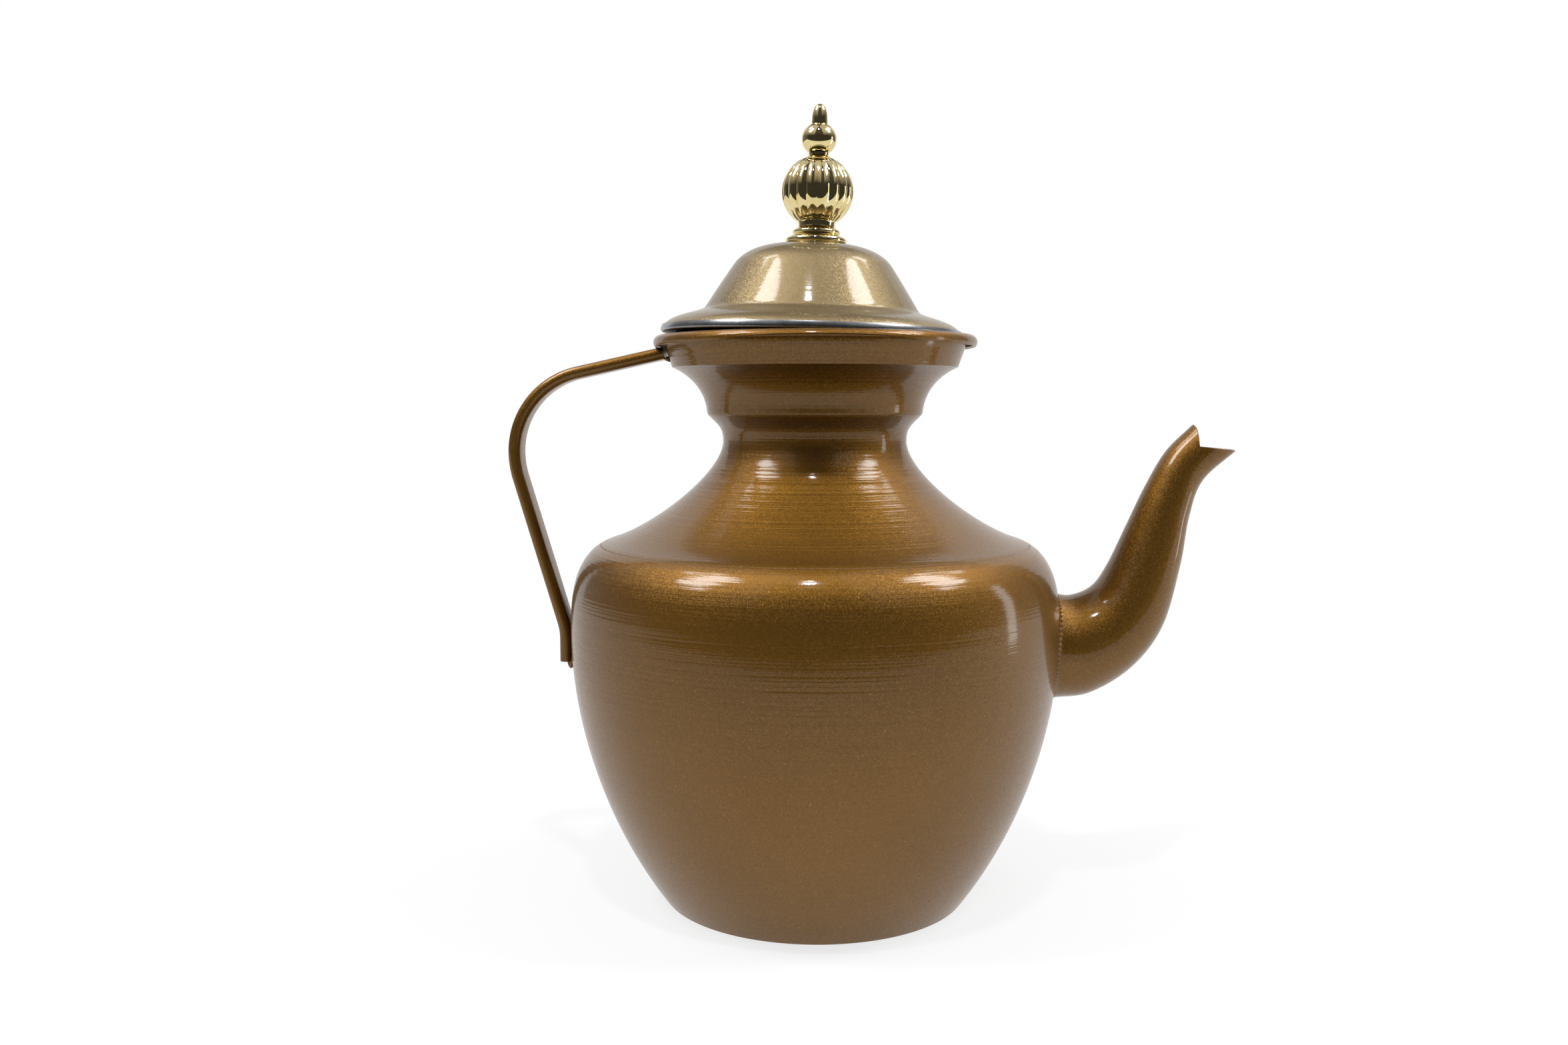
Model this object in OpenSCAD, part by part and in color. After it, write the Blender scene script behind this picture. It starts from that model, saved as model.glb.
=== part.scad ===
// Large spun-metal dallah coffee pot with an S-shaped spout, a strap handle
// and a loose domed lid that carries a stacked brass finial.
// Millimetres. The origin is the centre of the base, +Z is up, +X is the spout.

/* [Body] */
// Radius of the flat base
base_r = 66.7; // [62:0.1:70]
// Radius of the belly at its widest
belly_r = 105.7; // [103:0.1:105.8]
// Height of the widest line of the belly
belly_z = 118; // [112:1:122]
// Radius of the seam between body and shoulder
seam_r = 93; // [90:0.5:95]
// Height of the seam between body and shoulder
seam_z = 154.5; // [152:0.5:156]
// Radius of the neck at its narrowest
neck_r = 39.7; // [37:0.1:42]
// Height of the narrowest line of the neck
neck_z = 198.5; // [196:0.5:200]
// Thickness of the spun sheet
wall = 1.2; // [1:0.1:1.4]

/* [Mouth] */
// Radius of the crease where the mouth meets the neck
crease_r = 46.5; // [45:0.5:48]
// Height of that crease
crease_z = 210; // [208:0.5:211]
// Radius of the crease at the foot of the collar
collar_r = 61.5; // [60:0.5:62.5]
// Height of the crease at the foot of the collar
collar_z = 230; // [229:0.5:231]
// Radius of the middle of the rolled rim
rim_r = 66.4; // [66.4:0.1:66.8]
// Height of the middle of the rolled rim
rim_z = 240.4; // [240.2:0.1:240.5]
// Outside radius of the roll
roll_r = 3; // [2.8:0.1:3.1]

/* [Spout] */
// Height of the middle of the spout's root
root_z = 109; // [107:0.5:111]
// Radius of the spout at its root
root_r = 22.9; // [22.5:0.1:23.5]
// Thickness of the pressed spout halves
spout_wall = 1; // [0.8:0.1:1.2]
// Leg of the weld round the root
root_weld = 1.3; // [1:0.1:2]

/* [Handle] */
// Width of the folded strap
strap_w = 14.5; // [13:0.5:18]
// Thickness of the folded strap
strap_t = 5.3; // [4:0.1:5.4]
// Thickness of its sheet
strap_wall = 1; // [0.8:0.1:1.2]
// Distance of the foot from the pot's axis, to the strap's middle
foot_x = 108.8; // [108.6:0.1:109]
// Height of the square-cut foot
foot_z = 101.9; // [101:0.1:102.2]
// Lean of the long straight away from the body, degrees
grip_lean = 16.4; // [16:0.1:16.6]
// Length of the long straight
grip_l = 65.4; // [65:0.1:66]

/* [Lid] */
// Lean of the loosely seated lid towards the spout, degrees
lid_lean = 1.6; // [0:0.1:1.7]
// Shift of the loosely seated lid along X
lid_shift = -1.6; // [-1.6:0.1:0]
// Radius of the lid at its hem
lid_r = 64.7; // [64:0.1:64.7]
// Height of the underside of the hem
hem_z = 243.2; // [243.2:0.1:244.5]
// Height of the lid's flat top
top_z = 282.2; // [280:0.1:284]
// Thickness of the dome's sheet
dome_wall = 1; // [0.8:0.1:1.2]
// Thickness of the liner's sheet
liner_wall = 0.7; // [0.6:0.1:0.8]
// Outside radius of the liner's skirt
skirt_r = 57.5; // [56:0.5:57.5]
// Depth of the skirt below the hem
skirt_d = 10.8; // [8:0.1:13]

/* [Finial] */
// Radius of the fluted ball
melon_r = 15.3; // [14.8:0.1:16]
// Lobes round the fluted ball
lobes = 18; // [12:1:20]
// Depth of the grooves between the lobes
groove_d = 0.9; // [0.4:0.1:1.2]
// Radius of the small ball
ball_r = 7.5; // [7:0.1:8]
// Radius of the threaded stud that holds the stack
stud_r = 2.5; // [2:0.1:3]
// Distance of the stack from the middle of the dome
finial_shift = 0.9; // [0:0.1:1]

/* [Hidden] */

bronze = "#8a6338";
champagne = "#a98a5a";
brass = "#cdb36a";
bare_metal = "#8c939a";
steel = "#b4b6b8";

// ---- Curves -------------------------------------------------------------

// Point on a cubic Bezier curve
function bezier(p, t) =
    pow(1 - t, 3) * p[0] + 3 * pow(1 - t, 2) * t * p[1] + 3 * (1 - t) * t * t * p[2] + pow(t, 3) * p[3];

// The curve's points after its first one
function curve(p, steps) = [for (i = [1:steps]) bezier(p, i / steps)];

// Points on an arc, both ends included
function arc(centre, r, from, to, steps) =
    [for (i = [0:steps]) let (a = from + (to - from) * i / steps) centre + r * [cos(a), sin(a)]];

function unit(v) = v / norm(v);
function left_of(v) = [-v[1], v[0]];
function flip(list) = [for (i = [len(list) - 1:-1:0]) list[i]];
function part_of(list, from, to) = [for (i = [from:to]) list[i]];

// The line moved to its left by d, with mitred corners
function beside(line, d) = [
    for (i = [0:len(line) - 1])
        let (
            before = unit(line[max(i, 1)] - line[max(i, 1) - 1]),
            after = unit(line[min(i, len(line) - 2) + 1] - line[min(i, len(line) - 2)]),
            across = unit(left_of(before) + left_of(after))
        )
        line[i] + across * d / (across * left_of(after))
];

// Smooth value at u on a list of evenly spaced stations
function smooth(list, u) =
    let (
        last = len(list) - 1,
        i = min(floor(u), last - 1),
        f = u - i,
        b = list[i],
        c = list[i + 1],
        a = i > 0 ? list[i - 1] : 2 * b - c,
        d = i < last - 1 ? list[i + 2] : 2 * c - b
    )
    0.5 * (2 * b + (c - a) * f + (2 * a - 5 * b + 4 * c - d) * f * f + (3 * b - a - 3 * c + d) * pow(f, 3));

// Faces of a grid of rings, closed round each ring
function ring_faces(rings, sides) = [
    for (k = [0:rings - 2], j = [0:sides - 1])
        let (n = (j + 1) % sides)
        [k * sides + j, k * sides + n, (k + 1) * sides + n, (k + 1) * sides + j]
];

// ---- Sheet-metal outline of the pot, from base to rim --------------------

belly_steps = 22;
bulge_steps = 12;
shoulder_steps = 18;
neck_steps = 8;
flare_steps = 9;
roll_steps = 20;

belly_curve = [
    [base_r, 0], [base_r + 18.5, 25], [belly_r, belly_z - 50], [belly_r, belly_z]
];
bulge_curve = [
    [belly_r, belly_z], [belly_r, belly_z + 19.5], [seam_r + 9.5, seam_z - 7], [seam_r, seam_z]
];
shoulder_curve = [
    [seam_r, seam_z], [seam_r - 19, seam_z + 4], [neck_r, neck_z - 14.5], [neck_r, neck_z]
];
neck_curve = [
    [neck_r, neck_z], [neck_r, neck_z + 5.5], [crease_r - 5, crease_z - 5], [crease_r, crease_z]
];
flare_curve = [
    [crease_r, crease_z], [crease_r + 0.5, crease_z + 9], [collar_r - 9, collar_z - 4], [collar_r, collar_z]
];
wall_r = rim_r - roll_r + wall;
collar_curve = [
    [collar_r, collar_z], [wall_r - 1.6, collar_z + 5], [wall_r, rim_z - 2.5], [wall_r, rim_z]
];

outside = concat(
    [[0, 0], [base_r, 0]],
    curve(belly_curve, belly_steps),
    curve(bulge_curve, bulge_steps),
    curve(shoulder_curve, shoulder_steps),
    curve(neck_curve, neck_steps),
    curve(flare_curve, flare_steps),
    curve(collar_curve, 4),
    part_of(arc([rim_r, rim_z], roll_r - wall, 180, -48, roll_steps), 1, roll_steps)
);
inside = beside(outside, wall);

seam_at = 1 + belly_steps + bulge_steps;
crease_at = seam_at + shoulder_steps + neck_steps;
rim_end = len(outside) - 1;

// Radius of the body at a height
function body_r(z) = lookup(z, [for (i = [1:seam_at]) [outside[i][1], outside[i][0]]]);

// The sheet between two points of the outline
module sheet(from, to) {
    rotate_extrude($fn = 180)
        polygon(concat(part_of(outside, from, to), flip(part_of(inside, from, to))));
}

module body() {
    hole_r = root_r - spout_wall;
    color(bronze)
        difference() {
            sheet(0, seam_at);
            translate([belly_r / 2, 0, root_z])
                rotate([0, 90, 0])
                    cylinder(r = hole_r, h = belly_r, $fn = 96);
        }
}

module shoulder() {
    color(bronze) sheet(seam_at, crease_at);
}

module mouth() {
    color(bronze) sheet(crease_at, rim_end);
}

// ---- Spout ---------------------------------------------------------------

// Stations from root to lips: upper edge, lower edge, half width
spout_stations = [
    [[103.7, root_z + root_r], [103.7, root_z - root_r], root_r],
    [[112.4, 131.1], [120.2, 88.5], 22],
    [[121.6, 135.3], [138.2, 99.8], 19.8],
    [[128, 145], [151.3, 117.6], 17.2],
    [[135.2, 161], [158.5, 144], 14],
    [[143.1, 178.5], [162, 166], 11.6],
    [[151.8, 194], [167.4, 181.3], 10],
    [[162.9, 205.4], [181.3, 194.2], 9.2]
];
hood_tip = [162.9, 205.4];
notch = [163.6, 196.2];
beak_tip = [181.3, 194.2];
spout_rings = 34;
half_sides = 20;

// Height of the beak's lip and depth of the hood's lip
function beak_z(x) = notch[1] + (beak_tip[1] - notch[1]) * (x - notch[0]) / (beak_tip[0] - notch[0]);
function hood_x(z) =
    let (f = (z - notch[1]) / (hood_tip[1] - notch[1]))
    notch[0] + (hood_tip[0] - notch[0]) * f + 0.4 * f * (1 - f);

// Point on the tube: a is 0 on the upper edge and 180 on the lower one
function tube_point(u, a, thick) =
    let (
        s = smooth(spout_stations, u),
        centre = (s[0] + s[1]) / 2,
        rise = (s[0] - s[1]) / 2,
        p = centre + rise * (1 - thick / norm(rise)) * cos(a)
    )
    [p[0], (s[2] - thick) * sin(a), p[1]];

// Where the tube is cut away between the hood and the beak
function cut_away(p) = p[2] > beak_z(p[0]) && p[0] > hood_x(p[2]);

// Station at which the line at angle a meets a lip
function lip_station(a, from, to, tries) =
    tries == 0 ? (from + to) / 2 :
    cut_away(tube_point((from + to) / 2, a, 0))
        ? lip_station(a, from, (from + to) / 2, tries - 1)
        : lip_station(a, (from + to) / 2, to, tries - 1);

// The root ring lies on the body
function on_body(p) = [sqrt(pow(body_r(p[2]), 2) - p[1] * p[1]), p[1], p[2]];

function spout_line(a, thick) =
    let (end = lip_station(a, 4, len(spout_stations) - 1, 16))
    [
        for (k = [0:spout_rings - 1])
            let (f = k / (spout_rings - 1))
            k == 0 ? on_body(tube_point(0, a, thick)) : tube_point(0.35 + (end - 0.35) * f, a, thick)
    ];

// One pressed half: its sheet runs from the upper to the lower seam
module spout_half() {
    around = concat(
        [for (i = [0:half_sides]) spout_line(180 * i / half_sides, 0)],
        [for (i = [half_sides:-1:0]) spout_line(180 * i / half_sides, spout_wall)]
    );
    sides = len(around);
    points = [for (k = [0:spout_rings - 1], j = [0:sides - 1]) around[j][k]];
    last = (spout_rings - 1) * sides;
    polyhedron(
        points,
        concat(
            ring_faces(spout_rings, sides),
            [for (i = [0:half_sides - 1]) [i, sides - 1 - i, sides - 2 - i, i + 1]],
            [for (i = [0:half_sides - 1]) [last + i, last + i + 1, last + sides - 2 - i, last + sides - 1 - i]]
        )
    );
}

module spout_left_half() {
    color(bronze) spout_half();
}

module spout_right_half() {
    color(bronze) mirror([0, 1, 0]) spout_half();
}

// Fillet of weld metal in the corner between spout and body
module spout_weld() {
    rings = 48;
    function on_ring(a, r) = on_body([0, r * sin(a), root_z + r * cos(a)]);
    section = [
        for (k = [0:rings - 1])
            let (
                a = 360 * k / rings,
                foot = on_ring(a, root_r + root_weld),
                corner = on_ring(a, root_r),
                crest = corner + [root_weld, 0, 0]
            )
            [corner, foot, (foot + crest) / 2 - 0.2 * unit(foot + crest - 2 * corner), crest]
    ];
    points = [for (k = [0:rings - 1], j = [0:3]) section[k][j]];
    color(bronze)
        polyhedron(
            points,
            [
                for (k = [0:rings - 1], j = [0:3])
                    let (m = (k + 1) % rings, n = (j + 1) % 4)
                    [k * 4 + j, m * 4 + j, m * 4 + n, k * 4 + n]
            ]
        );
}

// ---- Handle --------------------------------------------------------------

// Legs from the foot up: length or radius, turn away from the pot, steps
handle_legs = [
    [9.9, 0, 1],
    [27.3, grip_lean, 5],
    [grip_l, 0, 1],
    [39.5, -15, 4],
    [35.3, -62.4 - grip_lean, 20],
    [38.7, 0, 1]
];

// A place on the path is x, z and the lean from the vertical, away from the pot
function walk(place, leg, f) =
    let (h = place[2] + leg[1] * f, r = sign(leg[1]) * leg[0])
    leg[1] == 0
        ? [place[0] - leg[0] * f * sin(h), place[1] + leg[0] * f * cos(h), h]
        : [place[0] + r * (cos(h) - cos(place[2])), place[1] + r * (sin(h) - sin(place[2])), h];

function path(place, legs, i = 0) =
    i == len(legs)
        ? [place]
        : concat(
            [for (k = [0:legs[i][2] - 1]) walk(place, legs[i], k / legs[i][2])],
            path(walk(place, legs[i], 1), legs, i + 1)
        );

// Outline of the flat strap with round edges
function strap_outline(w, t) = concat(
    arc([0, (w - t) / 2], t / 2, 0, 180, 8),
    arc([0, (t - w) / 2], t / 2, 180, 360, 8)
);

// The strap is a folded sheet, open at both ends
module handle() {
    outer = strap_outline(strap_w, strap_t);
    inner = strap_outline(strap_w - 2 * strap_wall, strap_t - 2 * strap_wall);
    sides = len(outer);
    places = path([-foot_x, foot_z, 0], handle_legs);
    last = (len(places) - 1) * 2 * sides;
    points = [
        for (s = places, q = concat(outer, inner))
            [s[0] + q[0] * cos(s[2]), q[1], s[1] + q[0] * sin(s[2])]
    ];
    faces = [
        for (k = [0:len(places) - 2], j = [0:sides - 1])
            let (n = (j + 1) % sides, a = 2 * k * sides, b = a + 2 * sides)
            each [
                [a + j, b + j, b + n, a + n],
                [a + sides + j, a + sides + n, b + sides + n, b + sides + j]
            ]
    ];
    ends = [
        for (j = [0:sides - 1])
            let (n = (j + 1) % sides)
            each [
                [j, n, sides + n, sides + j],
                [last + j, last + sides + j, last + sides + n, last + n]
            ]
    ];
    color(bronze) polyhedron(points, concat(faces, ends));
}

// Wedge of weld metal along the wall, centred on the handle
module weld_wedge(section, angle) {
    rotate([0, 0, 180 - angle / 2])
        rotate_extrude(angle = angle, $fn = 180)
            polygon(section);
}

module handle_top_weld() {
    color(bronze)
        weld_wedge([[62.1, 232.4], [65.4, 233.4], [64.2, 234.1], [62.95, 234.8]], 12);
}

module handle_foot_weld() {
    strap_face = foot_x - strap_t / 2;
    wall_line = [for (i = [0:4]) let (z = 107.4 - 2.2 * i) [body_r(z) + 0.02, z]];
    color(bronze)
        weld_wedge(
            concat(wall_line, [[strap_face - 0.02, foot_z + 0.1], [strap_face - 0.02, foot_z + 4.6]]),
            8
        );
}

// ---- Lid -----------------------------------------------------------------

// The lid lies loose on the rim, shifted and leaning a little
module on_rim() {
    translate([lid_shift, 0, hem_z])
        rotate([0, lid_lean, 0])
            translate([0, 0, -hem_z])
                children();
}

dome_crown = [[10, top_z], [24, top_z], [31.5, top_z - 4.8], [33.7, top_z - 8.8]];
dome_foot = [[45.4, 255.2], [46.1, 254.1], [46.7, 253.5], [47.9, 253.1]];
brim_edge = [lid_r - 0.7, hem_z + 1.1];
dome_brim = [[47.9, 253.1], [53.5, 251], [brim_edge[0] - 0.5, 249.7], brim_edge];
brim_steps = 16;
dome_line = concat(
    [[stud_r + finial_shift + 0.3, top_z], [10, top_z]],
    curve(dome_crown, 12),
    [dome_foot[0]],
    curve(dome_foot, 4),
    curve(dome_brim, brim_steps)
);

module lid_dome() {
    under = beside(dome_line, -dome_wall);
    color(champagne)
        on_rim()
            rotate_extrude($fn = 180)
                polygon(concat(dome_line, flip(under)));
}

// The liner's hem is folded up over the edge of the dome
module lid_liner() {
    hem = beside(part_of(dome_line, len(dome_line) - 4, len(dome_line) - 1), liner_wall + 0.02);
    line = concat(
        hem,
        arc([lid_r - 1.1, hem_z + 1.1], 1.1, -15, -90, 4),
        arc([skirt_r + 1.2, hem_z - 1.2], 1.2, 90, 180, 4),
        [[skirt_r, hem_z - skirt_d]]
    );
    color(bare_metal)
        on_rim()
            rotate_extrude($fn = 180)
                polygon(concat(line, flip(beside(line, -liner_wall))));
}

// ---- Finial --------------------------------------------------------------

base_top = top_z + 7.3;
collar_top = base_top + 2.4;
melon_z = 304.5;
neck_low = melon_z + 14.5;
neck_top = 320.8;
ball_z = 326.5;
tip_z = 332.7;
tip_top = 341.2;
bore_r = stud_r + 0.1;

// The stack stands a little off the middle of the dome
module on_dome() {
    on_rim()
        translate([finial_shift, 0, 0])
            children();
}

// A turned piece drilled for the stud
module turned(profile) {
    color(brass)
        on_dome()
            rotate_extrude($fn = 120)
                polygon(profile);
}

module finial_base() {
    step = top_z + 3.9;
    turned(concat(
        [[bore_r, top_z + 0.02], [12.9, top_z + 0.02]],
        arc([11.6, top_z + 1.5], 1.6, -55, 62, 6),
        [[10.5, step - 0.3]],
        arc([9.1, step + 1.2], 1.2, -50, 80, 6),
        [[8.2, base_top], [bore_r, base_top]]
    ));
}

module finial_collar() {
    turned([
        [bore_r, base_top + 0.02], [8.1, base_top + 0.02], [7.9, base_top + 1],
        [8.2, collar_top], [bore_r, collar_top]
    ]);
}

// Ball of convex lobes that meet in grooves and close in at both ends
module fluted_ball() {
    per_lobe = 6;
    sides = lobes * per_lobe;
    rows = 16;
    low = -asin((melon_z - collar_top - 0.02) / melon_r);
    high = asin((neck_low - 0.02 - melon_z) / melon_r);
    function lobe(a, tilt) = groove_d * pow(cos(tilt), 2) * (1 - abs(cos(lobes * a / 2)));
    outline = function (a) concat(
        [
            for (i = [0:rows])
                let (tilt = low + (high - low) * i / rows, r = melon_r - lobe(a, tilt))
                [r * cos(tilt), melon_r * sin(tilt)]
        ],
        [[bore_r + 0.1, melon_r * sin(high)], [bore_r + 0.1, melon_r * sin(low)]]
    );
    ring = rows + 3;
    points = [
        for (k = [0:sides - 1])
            let (a = 360 * k / sides)
            for (p = outline(a)) [p[0] * cos(a), p[0] * sin(a), melon_z + p[1]]
    ];
    color(brass)
        on_dome()
            polyhedron(
                points,
                [
                    for (k = [0:sides - 1], j = [0:ring - 1])
                        let (m = (k + 1) % sides, n = (j + 1) % ring)
                        [k * ring + j, k * ring + n, m * ring + n, m * ring + j]
                ]
            );
}

module finial_neck() {
    turned([
        [bore_r, neck_low], [4.9, neck_low], [4.3, neck_low + 0.8],
        [4.3, neck_top - 0.02], [bore_r, neck_top - 0.02]
    ]);
}

module finial_ball() {
    low = -50;
    high = 62;
    squat = 0.93;
    turned(concat(
        [[bore_r, neck_top]],
        [
            for (i = [0:18])
                let (a = low + (high - low) * i / 18)
                [ball_r * cos(a), max(ball_z + squat * ball_r * sin(a), neck_top)]
        ],
        [[bore_r, ball_z + squat * ball_r * sin(high)]]
    ));
}

module finial_tip() {
    tip_r = 3.45;
    crown = [[tip_r - 0.1, tip_top - 6.5], [tip_r - 0.2, tip_top - 3], [2.4, tip_top], [0, tip_top]];
    color(brass)
        on_dome()
            rotate_extrude($fn = 96)
                polygon(concat([[0, tip_z], [tip_r, tip_z], crown[0]], curve(crown, 10)));
}

module finial_stud() {
    color(steel)
        on_dome()
            translate([0, 0, top_z - 10])
                cylinder(r = stud_r, h = tip_z - top_z + 9.95, $fn = 48);
}

module finial_washer() {
    color(steel)
        on_dome()
            translate([0, 0, top_z - dome_wall - 1.05])
                difference() {
                    cylinder(r = 7, h = 1, $fn = 64);
                    translate([0, 0, -1]) cylinder(r = bore_r, h = 3, $fn = 48);
                }
}

module finial_nut() {
    color(steel)
        on_dome()
            translate([0, 0, top_z - dome_wall - 5.1])
                difference() {
                    cylinder(r = 4.6, h = 4, $fn = 6);
                    translate([0, 0, -1]) cylinder(r = stud_r + 0.02, h = 6, $fn = 48);
                }
}

body();
shoulder();
mouth();
spout_left_half();
spout_right_half();
spout_weld();
handle();
handle_top_weld();
handle_foot_weld();
lid_dome();
lid_liner();
finial_base();
finial_collar();
fluted_ball();
finial_neck();
finial_ball();
finial_tip();
finial_stud();
finial_washer();
finial_nut();
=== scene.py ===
import math
import bpy
import bmesh
from mathutils import Matrix, Vector, noise


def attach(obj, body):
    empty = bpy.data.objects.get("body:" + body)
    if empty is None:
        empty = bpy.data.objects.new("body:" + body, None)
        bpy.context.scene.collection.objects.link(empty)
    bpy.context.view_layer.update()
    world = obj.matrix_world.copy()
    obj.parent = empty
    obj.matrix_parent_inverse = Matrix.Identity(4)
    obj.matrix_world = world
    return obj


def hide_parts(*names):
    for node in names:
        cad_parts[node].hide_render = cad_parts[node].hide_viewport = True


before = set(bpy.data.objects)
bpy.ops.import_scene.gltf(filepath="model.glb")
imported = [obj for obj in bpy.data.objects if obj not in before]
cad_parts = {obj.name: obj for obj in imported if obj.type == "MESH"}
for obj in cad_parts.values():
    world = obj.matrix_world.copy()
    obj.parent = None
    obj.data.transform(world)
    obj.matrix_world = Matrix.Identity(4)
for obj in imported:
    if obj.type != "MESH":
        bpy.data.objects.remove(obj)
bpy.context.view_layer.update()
print("frame loaded:", len(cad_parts), "pieces")

mm = 0.001
scene = bpy.context.scene
scene.view_settings.view_transform = "Standard"

view = {
    "place": (0.0, -0.580, 0.2165),
    "tilt": 84.7,  # degrees from straight down
    "turn": 1.317,  # degrees towards the handle
    "lens": 30.62,
}
cameraData = bpy.data.cameras.new("camera")
cameraData.lens = view["lens"]
cameraData.sensor_width = 36
camera = bpy.data.objects.new("camera", cameraData)
camera.location = view["place"]
camera.rotation_euler = (math.radians(view["tilt"]), 0, math.radians(view["turn"]))
scene.collection.objects.link(camera)
scene.camera = camera


# Outlines are lists of 2-D points in millimetres: distance from the axis, height


def onBezier(points, t):
    a, b, c, d = (Vector(p) for p in points)
    return (1 - t) ** 3 * a + 3 * (1 - t) ** 2 * t * b + 3 * (1 - t) * t * t * c + t ** 3 * d


# The curve's points after its first one
def curve(points, steps):
    return [onBezier(points, i / steps) for i in range(1, steps + 1)]


def arc(x, z, r, start, stop, steps):
    angles = [math.radians(start + (stop - start) * i / steps) for i in range(steps + 1)]
    return [Vector((x + r * math.cos(a), z + r * math.sin(a))) for a in angles]


def line(*points):
    return [Vector(p) for p in points]


# The line moved to its left by d, with mitred corners
def beside(points, d):
    moved = []
    last = len(points) - 1
    for i, p in enumerate(points):
        before = (points[max(i, 1)] - points[max(i, 1) - 1]).normalized()
        after = (points[min(i, last - 1) + 1] - points[min(i, last - 1)]).normalized()
        leftBefore, leftAfter = Vector((-before.y, before.x)), Vector((-after.y, after.x))
        across = (leftBefore + leftAfter).normalized()
        moved.append(p + across * d / across.dot(leftAfter))
    return moved


# Closed outline of a sheet that lies along the line
def sheet(points, thick):
    return points + beside(points, thick)[::-1] + points[:1]


# Rounds the corner at one point of a line, as far as the reach on both sides
def softened(points, at, reach):
    low, high = at, at
    while (points[low] - points[at]).length < reach:
        low -= 1
    while (points[high] - points[at]).length < reach:
        high += 1
    a, b, c = points[low], points[at], points[high]
    steps = 2 * max(at - low, high - at, 6)
    fine = []
    for i in range(steps + 1):
        t = i / steps
        fine.append((1 - t) ** 2 * a + 2 * (1 - t) * t * b + t * t * c)
    return points[:low] + fine + points[high + 1:], low + steps // 2


def addNode(tree, kind, inputs=None, **settings):
    node = tree.nodes.new(kind)
    for name, value in settings.items():
        setattr(node, name, value)
    for name, value in (inputs or {}).items():
        if isinstance(value, bpy.types.NodeSocket):
            tree.links.new(value, node.inputs[name])
        else:
            node.inputs[name].default_value = value
    return node


def mathNode(tree, operation, a, b=None):
    node = addNode(tree, "ShaderNodeMath", {0: a}, operation=operation)
    if isinstance(b, bpy.types.NodeSocket):
        tree.links.new(b, node.inputs[1])
    elif b is not None:
        node.inputs[1].default_value = b
    return node.outputs[0]


def vectorNode(tree, operation, a, b=None, scale=None):
    node = addNode(tree, "ShaderNodeVectorMath", {0: a}, operation=operation)
    if isinstance(b, bpy.types.NodeSocket):
        tree.links.new(b, node.inputs[1])
    elif b is not None:
        node.inputs[1].default_value = b
    if isinstance(scale, bpy.types.NodeSocket):
        tree.links.new(scale, node.inputs["Scale"])
    elif scale is not None:
        node.inputs["Scale"].default_value = scale
    return node.outputs[0]


# Geometry node tree with named inputs, with its input and output nodes
def newTree(name, inputs):
    tree = bpy.data.node_groups.new(name, "GeometryNodeTree")
    tree.interface.new_socket("Line", in_out="INPUT", socket_type="NodeSocketGeometry")
    for label, kind, value in inputs:
        socket = tree.interface.new_socket(label, in_out="INPUT", socket_type=kind)
        if value is not None:
            socket.default_value = value
    tree.interface.new_socket("Mesh", in_out="OUTPUT", socket_type="NodeSocketGeometry")
    return tree, tree.nodes.new("NodeGroupInput").outputs, tree.nodes.new("NodeGroupOutput")


# The last nodes of a tree: one real mesh with its finish
def endTree(tree, geometry, finish, end):
    merged = addNode(tree, "GeometryNodeMergeByDistance", {"Geometry": geometry, "Distance": 1e-6})
    real = addNode(tree, "GeometryNodeRealizeInstances", {"Geometry": merged.outputs[0]})
    done = addNode(tree, "GeometryNodeSetMaterial", {"Geometry": real.outputs[0], "Material": finish})
    tree.links.new(done.outputs[0], end.inputs[0])


# Puts the evaluated mesh in the place of an object's own and drops the modifiers
def plain(made):
    made.update_tag()
    bpy.context.view_layer.update()
    evaluated = made.evaluated_get(bpy.context.evaluated_depsgraph_get())
    result = bpy.data.meshes.new_from_object(evaluated)
    made.modifiers.clear()
    made.data = result
    result.name = made.name
    return made


# Runs a tree on a line of points that carries named vectors or lengths
def runTree(name, tree, points, values, vectors=None):
    data = bpy.data.meshes.new(name)
    data.from_pydata(points, [(i, i + 1) for i in range(len(points) - 1)], [])
    lengths = [0.0]
    for a, b in zip(points, points[1:]):
        lengths.append(lengths[-1] + (Vector(b) - Vector(a)).length)
    data.attributes.new("along", "FLOAT", "POINT").data.foreach_set("value", lengths)
    for label, flat in (vectors or {}).items():
        data.attributes.new(label, "FLOAT_VECTOR", "POINT").data.foreach_set("vector", flat)
    made = bpy.data.objects.new(name, data)
    scene.collection.objects.link(made)
    modifier = made.modifiers.new("nodes", "NODES")
    modifier.node_group = tree
    for item in tree.interface.items_tree:
        if item.item_type == "SOCKET" and item.in_out == "INPUT" and item.name in values:
            modifier[item.identifier] = values[item.name]
    return plain(made)


# Merges doubles, turns the faces outwards and shades smooth up to an angle
def tidyMesh(made, sharp=30, weld=1e-6):
    work = bmesh.new()
    work.from_mesh(made.data)
    bmesh.ops.remove_doubles(work, verts=work.verts, dist=weld)
    bmesh.ops.dissolve_degenerate(work, dist=weld / 2, edges=work.edges)
    bmesh.ops.recalc_face_normals(work, faces=work.faces)
    work.to_mesh(made.data)
    work.free()
    made.data.polygons.foreach_set("use_smooth", [True] * len(made.data.polygons))
    made.data.set_sharp_from_angle(angle=math.radians(sharp))
    return made


def meshOf(name, points, faces, finish):
    data = bpy.data.meshes.new(name)
    data.from_pydata([p * mm for p in points], [], faces)
    data.materials.append(finish)
    made = bpy.data.objects.new(name, data)
    scene.collection.objects.link(made)
    return made


# Faces between rings of points, closed round each ring
def ringFaces(rings, count):
    faces = []
    for k in range(rings - 1):
        for j in range(count):
            m = (j + 1) % count
            faces.append((k * count + j, k * count + m, (k + 1) * count + m, (k + 1) * count + j))
    return faces


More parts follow.
